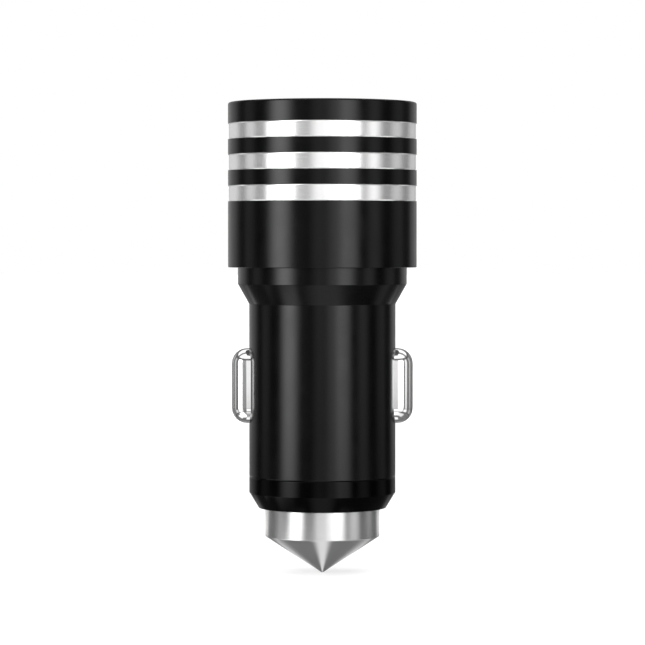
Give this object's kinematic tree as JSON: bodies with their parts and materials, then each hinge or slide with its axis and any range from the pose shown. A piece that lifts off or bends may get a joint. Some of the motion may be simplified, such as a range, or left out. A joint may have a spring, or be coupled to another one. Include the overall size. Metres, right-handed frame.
{
  "type": "car socket charger plug",
  "caption": "Round black charger plug for a car's power socket: banded head with charging ports, slim barrel, sprung side contacts and a pointed steel tip.",
  "frame": {"origin": "on the plug's axis where the straight barrel begins, just below the neck's taper", "axes": "+Z along the axis from the tip to the ports, X through the two side contacts"},
  "size_m": [0.025, 0.025, 0.0624],
  "materials": {
    "black_anodised": "satin black anodised aluminium",
    "collar_plastic": "glossy black moulded plastic",
    "tip_steel": "turned bright steel",
    "contact_nickel": "polished nickel plate",
    "spring_steel": "spring steel",
    "fastener_steel": "zinc-plated steel",
    "tab_brass": "brass strip",
    "carrier_plastic": "black moulded plastic",
    "face_plastic": "fine-grained black plastic",
    "board_laminate": "green solder mask",
    "port_steel": "nickel-plated sheet",
    "tongue_plastic": "white moulded plastic",
    "contact_gold": "gold-plated strip",
    "pipe_clear": "clear moulded light pipe",
    "lamp_lens": "milky lens",
    "ferrite": "dark ferrite",
    "copper_wire": "enamelled copper wire",
    "can_sleeve": "bright can",
    "chip_black": "moulded chip case",
    "chip_small": "ceramic chip"
  },
  "bodies": {
    "housing": {"head_sleeve": "black_anodised", "barrel_body": "black_anodised", "nose_collar": "collar_plastic", "hammer_tip": "tip_steel", "tip_washer": "fastener_steel", "tip_nut": "fastener_steel", "positive_tab": "tab_brass", "right_leaf_spring": "spring_steel", "left_leaf_spring": "spring_steel", "inner_carrier": "carrier_plastic", "circuit_board": "board_laminate", "port_face": "face_plastic", "front_port_shell": "port_steel", "rear_port_shell": "port_steel", "front_port_tongue": "tongue_plastic", "rear_port_tongue": "tongue_plastic", "front_port_strips": "contact_gold", "rear_port_strips": "contact_gold", "light_pipe": "pipe_clear", "indicator_lamp": "lamp_lens", "choke_core": "ferrite", "choke_winding": "copper_wire", "input_capacitor": "can_sleeve", "output_capacitor": "can_sleeve", "controller_chip": "chip_black", "chip_components": "chip_small"},
    "right_contact": {"right_contact": "contact_nickel"},
    "left_contact": {"left_contact": "contact_nickel"}
  },
  "joints": [
    {"name": "right_contact_press", "type": "slide", "parent": "housing", "child": "right_contact", "axis": [-1, 0, 0], "range_m": [0, 0.0015], "stiffness_N_per_m": 2500, "springref_m": -0.0008, "deforming": ["right_leaf_spring"]},
    {"name": "left_contact_press", "type": "slide", "parent": "housing", "child": "left_contact", "axis": [1, 0, 0], "range_m": [0, 0.0015], "stiffness_N_per_m": 2500, "springref_m": -0.0008, "deforming": ["left_leaf_spring"]}
  ]
}
